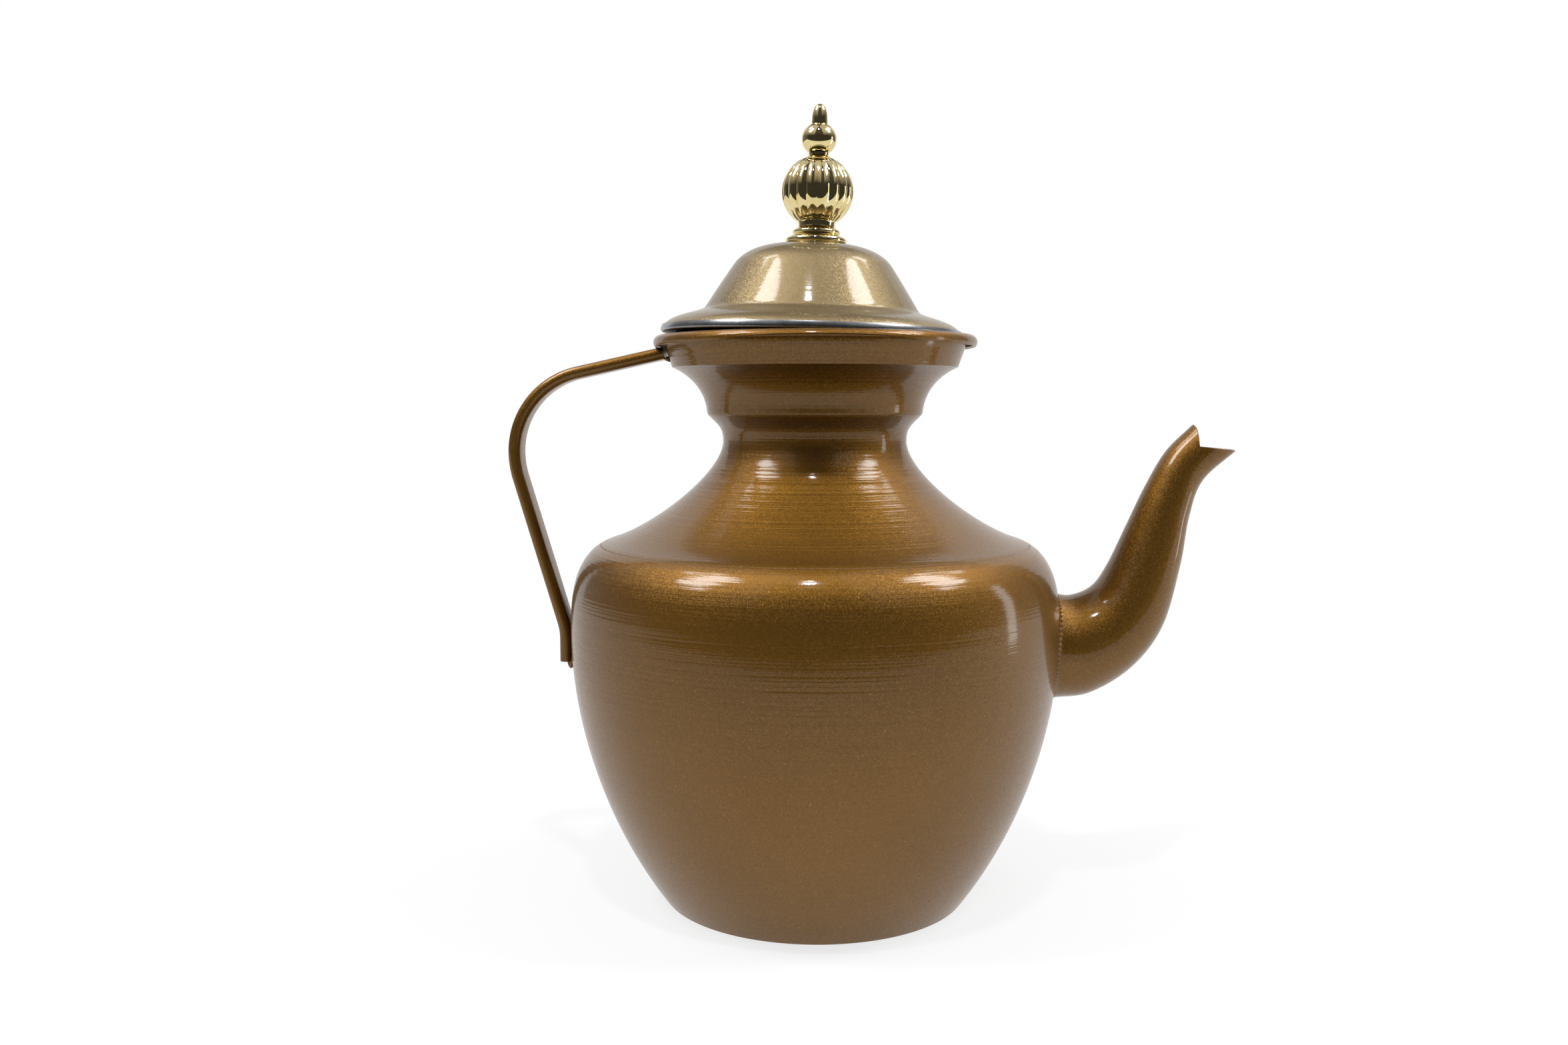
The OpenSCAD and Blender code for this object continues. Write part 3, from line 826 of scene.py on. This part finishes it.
# A CAD weld made into a rough bead: remeshed, pushed about and smoothed
def weldBead(name, node, drop=False):
    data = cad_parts[node].data.copy()
    made = bpy.data.objects.new(name, data)
    scene.collection.objects.link(made)
    data.materials.clear()
    if drop:
        work = bmesh.new()
        work.from_mesh(data)
        size = Matrix.Diagonal([d * mm for d in bead["dropSize"]] + [1])
        at = Matrix.Translation([d * mm for d in bead["drop"]])
        bmesh.ops.create_icosphere(work, subdivisions=3, radius=1, matrix=at @ size)
        work.to_mesh(data)
        work.free()
    tidyMesh(made, 180, 1e-5)
    remesh = made.modifiers.new("remesh", "REMESH")
    remesh.mode = "VOXEL"
    remesh.voxel_size = bead["grain"] * mm
    plain(made)
    made.data.update()
    for vertex in made.data.vertices:
        lump = noise.noise(vertex.co * bead["roughScale"])
        vertex.co += vertex.normal * (lump + 0.25) * bead["rough"] * mm
    smooth = made.modifiers.new("smooth", "SMOOTH")
    smooth.factor = 0.6
    smooth.iterations = 3
    plain(made)
    made.data.materials.clear()
    made.data.materials.append(bronzePressed)
    return tidyMesh(made, 180)


place(weldBead("handleFootBead", "handle_foot_weld", True), "pot", "bronze_paint", "handle_foot_weld")
place(weldBead("handleTopBead", "handle_top_weld"), "pot", "bronze_paint", "handle_top_weld")
print("handle swept and welded")

lid = {
    "lean": 1.6, "shift": -1.6, "radius": 64.7, "hemHeight": 243.2, "topHeight": 282.2,
    "domeWall": 1.0, "linerWall": 0.7, "skirtRadius": 57.5, "skirtDepth": 10.8, "holeRadius": 3.7,
    "steps": 288,
}
onRim = (
    Matrix.Translation((lid["shift"] * mm, 0, lid["hemHeight"] * mm))
    @ Matrix.Rotation(math.radians(lid["lean"]), 4, "Y")
    @ Matrix.Translation((0, 0, -lid["hemHeight"] * mm))
)


def lidPiece(name, outline, finish, slot, node, **options):
    made = turned(name, outline, finish, **options)
    made.data.transform(onRim)
    return place(made, "lid", slot, node)


topZ, hemZ, lidR = lid["topHeight"], lid["hemHeight"], lid["radius"]
edge = (lidR - 0.7, hemZ + 1.1)
crown = [(10, topZ), (24, topZ), (30.9, topZ - 4.8), (33.7, topZ - 8.8)]
flank = [(33.7, topZ - 8.8), (37.4, 268.0), (42.0, 260.8), (45.4, 255.2)]
foot = [(45.4, 255.2), (46.1, 254.1), (46.7, 253.5), (47.9, 253.1)]
brim = [(47.9, 253.1), (53.5, 251), (edge[0] - 0.5, 249.7), edge]
domeLine = line((lid["holeRadius"], topZ), (10, topZ)) + curve(crown, 30)
domeLine += curve(flank, 20) + curve(foot, 8) + curve(brim, 40)
domeSheet = sheet(domeLine, -lid["domeWall"])
lidPiece("lidDome", domeSheet, champagne, "champagne_paint", "lid_dome", steps=lid["steps"])

hem = beside(domeLine[-6:], lid["linerWall"] + 0.02)
linerLine = hem + arc(lidR - 1.1, hemZ + 1.1, 1.1, -15, -90, 10)
linerLine += arc(lid["skirtRadius"] + 1.2, hemZ - 1.2, 1.2, 90, 180, 10)
linerLine += line((lid["skirtRadius"], hemZ - lid["skirtDepth"]))
linerSheet = sheet(linerLine, -lid["linerWall"])
lidPiece("lidLiner", linerSheet, aluminium, "bare_aluminium", "lid_liner", steps=lid["steps"])
print("lid turned")

finial = {
    "shift": 0.9, "bore": 2.6, "melonRadius": 15.3, "melonHeight": 304.5, "lobes": 18, "groove": 0.9,
    "neckTop": 320.8, "ballRadius": 7.5, "ballHeight": 326.5, "squat": 0.93,
    "tipHeight": 332.7, "tipTop": 341.2, "tipRadius": 3.45,
}
onDome = onRim @ Matrix.Translation((finial["shift"] * mm, 0, 0))


def finialPiece(name, outline, node, **options):
    made = turned(name, outline, brass, **options)
    made.data.transform(onDome)
    return place(made, "lid", "polished_brass", node)


bore, melonR, melonZ = finial["bore"], finial["melonRadius"], finial["melonHeight"]
step, baseTop = topZ + 3.9, topZ + 7.3
collarTop, neckLow, neckTop = baseTop + 2.4, melonZ + 14.5, finial["neckTop"]

baseLine = line((bore, topZ + 0.02), (12.9, topZ + 0.02)) + arc(11.6, topZ + 1.5, 1.6, -55, 62, 16)
baseLine += line((10.5, step - 0.3)) + arc(9.1, step + 1.2, 1.2, -50, 80, 14)
baseLine += line((8.2, baseTop), (bore, baseTop))
finialPiece("finialBase", baseLine + baseLine[:1], "finial_base", steps=160)

collarLine = line((bore, baseTop + 0.02), (8.1, baseTop + 0.02), (7.9, baseTop + 1), (8.2, collarTop))
collarLine += line((bore, collarTop), (bore, baseTop + 0.02))
finialPiece("finialCollar", collarLine, "finial_collar", steps=160)

low = -math.degrees(math.asin((melonZ - collarTop - 0.02) / melonR))
high = math.degrees(math.asin((neckLow - 0.02 - melonZ) / melonR))
melonLine = arc(0, melonZ, melonR, low, high, 56)
melonLine += line((bore + 0.1, melonLine[-1].y), (bore + 0.1, melonLine[0].y)) + melonLine[:1]
finialPiece(
    "flutedBall", melonLine, "fluted_ball", steps=finial["lobes"] * 16, lobes=finial["lobes"],
    groove=finial["groove"], ballRadius=melonR, sharp=26,
)

neckLine = line((bore, neckLow), (4.9, neckLow), (4.3, neckLow + 0.8), (4.3, neckTop - 0.02))
neckLine += line((bore, neckTop - 0.02), (bore, neckLow))
finialPiece("finialNeck", neckLine, "finial_neck", steps=96)

ballR, ballZ, squat = finial["ballRadius"], finial["ballHeight"], finial["squat"]
ballLine = line((bore, neckTop))
for i in range(41):
    a = math.radians(-50 + 112 * i / 40)
    ballLine.append(Vector((ballR * math.cos(a), max(ballZ + squat * ballR * math.sin(a), neckTop))))
ballLine += line((bore, ballLine[-1].y)) + ballLine[:1]
finialPiece("finialBall", ballLine, "finial_ball", steps=128)

tipR, tipTop = finial["tipRadius"], finial["tipTop"]
tipCrown = [(tipR - 0.1, tipTop - 6.5), (tipR - 0.2, tipTop - 3), (2.4, tipTop), (0, tipTop)]
tipLine = line((0, finial["tipHeight"]), (tipR, finial["tipHeight"]), tipCrown[0]) + curve(tipCrown, 24)
finialPiece("finialTip", tipLine, "finial_tip", steps=96)
print("finial turned")

for name in ("finial_stud", "finial_washer", "finial_nut"):
    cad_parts[name].data.materials.clear()
    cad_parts[name].data.materials.append(steel)

studio = {
    "middle": (0, 0, 0.18),  # the lights look here
    "panel": (0.50, 0.74), "panelAway": 1.9, "panelPower": 21.5,
    "rearPanel": (0.26, 0.40), "rearPower": 3.4,
    "spot": (0.10, 0.10), "spotWay": (-0.03, -0.41, 0.912), "spotAway": 1.7, "spotPower": 7.0,
    "strip": (0.08, 0.46), "stripPlace": (0.75, 0.05, 0.25), "stripPower": 0.6,
    "softLight": 0.5, "softColour": (0.92, 0.95, 1.0, 1),
    "floorRadius": 30, "floorTone": 0.84, "ownWhite": 0.75,  # own white is its share near the pot
    "whiteFrom": 0.15, "whiteAt": 0.75,  # metres from the pot's axis
    "roomRadius": 6, "roomColour": (1.0, 0.95, 0.97, 1),
    "front": 0.05, "sides": 0.20, "ceiling": 0.10, "ceilingSides": 0.70,
    "backOpen": 45, "backOpenTop": 40,  # degrees to each side of straight back, and up
    "roomFloorFrom": 6,  # degrees; its straight edge runs 0.63 m in front of the pot's axis
}


def plate(name, corners, finish):
    data = bpy.data.meshes.new(name)
    data.from_pydata(corners, [], [tuple(range(len(corners)))])
    data.materials.append(finish)
    made = bpy.data.objects.new(name, data)
    scene.collection.objects.link(made)
    return made


# What the camera, gloss and glass all see as white, where other rays see plain light
def seenDirectly(tree):
    path = addNode(tree, "ShaderNodeLightPath").outputs
    seen = mathNode(tree, "MAXIMUM", path["Is Camera Ray"], path["Is Glossy Ray"])
    return mathNode(tree, "MAXIMUM", seen, path["Is Transmission Ray"])


# Pale floor that turns plain white away from the pot; near the pot it keeps the shadow
def makeFloor():
    s = studio
    finish = bpy.data.materials.new("paleFloor")
    finish.use_nodes = True
    tree = finish.node_tree
    tree.nodes.clear()
    where = addNode(tree, "ShaderNodeTexCoord").outputs["Object"]
    away = addNode(tree, "ShaderNodeVectorMath", {0: where}, operation="LENGTH").outputs["Value"]
    share = mathNode(
        tree, "MULTIPLY", seenDirectly(tree),
        rangeOf(tree, away, s["ownWhite"], 1.0, s["whiteFrom"], s["whiteAt"]),
    )
    tone = s["floorTone"]
    matt = addNode(tree, "ShaderNodeBsdfDiffuse", {"Color": (tone, tone, tone, 1)})
    white = addNode(tree, "ShaderNodeEmission", {"Color": (1, 1, 1, 1), "Strength": 1.0})
    mixed = addNode(tree, "ShaderNodeMixShader", {0: share, 1: matt.outputs[0], 2: white.outputs[0]})
    out = addNode(tree, "ShaderNodeOutputMaterial")
    tree.links.new(mixed.outputs[0], out.inputs["Surface"])
    corners = [(p.x, p.y, 0) for p in arc(0, 0, s["floorRadius"], 0, 360, 96)[:-1]]
    return plate("floor", corners, finish)


# White all round, which the camera, gloss and glass see; all else gets soft light
def makeWorld():
    world = bpy.data.worlds.new("studio")
    scene.world = world
    world.use_nodes = True
    tree = world.node_tree
    tree.nodes.clear()
    seen = seenDirectly(tree)
    plainLight = {"Color": studio["softColour"], "Strength": studio["softLight"]}
    soft = addNode(tree, "ShaderNodeBackground", plainLight)
    white = addNode(tree, "ShaderNodeBackground", {"Color": (1, 1, 1, 1), "Strength": 1.0})
    mixed = addNode(tree, "ShaderNodeMixShader", {0: seen, 1: soft.outputs[0], 2: white.outputs[0]})
    out = addNode(tree, "ShaderNodeOutputWorld")
    tree.links.new(mixed.outputs[0], out.inputs["Surface"])


# The studio's walls and ceiling, which only gloss shows: a dark front, paler sides and a
# ceiling that is dark down its middle. It is open towards +Y, behind the pot in the main
# view, so that the metal shows the white background there, and its floor starts behind
# the camera
def makeRoom():
    s = studio
    finish = bpy.data.materials.new("roomGrey")
    finish.use_nodes = True
    tree = finish.node_tree
    tree.nodes.clear()
    where = addNode(tree, "ShaderNodeTexCoord").outputs["Object"]
    way = addNode(tree, "ShaderNodeSeparateXYZ", {0: vectorNode(tree, "NORMALIZE", where)}).outputs
    walls = rangeOf(tree, way["Y"], s["front"], s["sides"], -0.3, 0.5)
    over = rangeOf(tree, way["Z"], 0.0, 1.0, 0.35, 0.75)
    heightSquared = mathNode(tree, "POWER", way["Z"], 2.0)
    level = mathNode(tree, "SQRT", mathNode(tree, "SUBTRACT", 1.0, heightSquared))
    aside = mathNode(tree, "DIVIDE", mathNode(tree, "ABSOLUTE", way["X"]), level)
    ceiling = rangeOf(tree, aside, s["ceiling"], s["ceilingSides"], 0.43, 0.53)
    fromWalls = mathNode(tree, "MULTIPLY", walls, mathNode(tree, "SUBTRACT", 1.0, over))
    grey = mathNode(tree, "ADD", fromWalls, mathNode(tree, "MULTIPLY", over, ceiling))
    light = addNode(tree, "ShaderNodeEmission", {"Color": s["roomColour"], "Strength": grey})
    out = addNode(tree, "ShaderNodeOutputMaterial")
    tree.links.new(light.outputs[0], out.inputs["Surface"])

    data = bpy.data.meshes.new("room")
    work = bmesh.new()
    bmesh.ops.create_uvsphere(work, u_segments=64, v_segments=32, radius=s["roomRadius"])
    openCos = math.cos(math.radians(s["backOpen"]))
    openTop = s["roomRadius"] * math.sin(math.radians(s["backOpenTop"]))
    gone = []
    for face in work.faces:
        c = face.calc_center_median()
        behind = c.y > openCos * math.hypot(c.x, c.y) and c.z < openTop
        if c.z < 0 or behind:
            gone.append(face)
    bmesh.ops.delete(work, geom=gone, context="FACES")
    bmesh.ops.reverse_faces(work, faces=work.faces)
    rim = arc(0, 0, s["roomRadius"], s["roomFloorFrom"] - 180, -s["roomFloorFrom"], 24)
    work.faces.new([work.verts.new((p.x, p.y, 0.001)) for p in rim])
    work.to_mesh(data)
    work.free()
    data.materials.append(finish)
    room = bpy.data.objects.new("room", data)
    scene.collection.objects.link(room)
    room.visible_camera = False
    room.visible_diffuse = False
    room.visible_transmission = False
    room.visible_shadow = False
    return room


def areaLight(name, at, width, height, power):
    data = bpy.data.lights.new(name, "AREA")
    data.shape = "RECTANGLE"
    data.size, data.size_y = width, height
    data.energy = power
    made = bpy.data.objects.new(name, data)
    made.location = at
    aim = Vector(studio["middle"]) - Vector(at)
    made.rotation_euler = aim.to_track_quat("-Z", "Y").to_euler()
    scene.collection.objects.link(made)
    made.visible_camera = False
    return made


makeFloor()
makeWorld()
makeRoom()
s = studio
centre = Vector(s["middle"])
for name, way in (("panelLeft", (-0.584, -0.15, 0.80)), ("panelRight", (0.64, -0.075, 0.765))):
    areaLight(name, centre + Vector(way) * s["panelAway"], *s["panel"], s["panelPower"])
for name, way in (("rearLeft", (-0.486, 0.16, 0.86)), ("rearRight", (0.54, 0.25, 0.80))):
    areaLight(name, centre + Vector(way) * s["panelAway"], *s["rearPanel"], s["rearPower"])
areaLight("spot", centre + Vector(s["spotWay"]) * s["spotAway"], *s["spot"], s["spotPower"])
areaLight("strip", s["stripPlace"], *s["strip"], s["stripPower"])
print("studio lit")
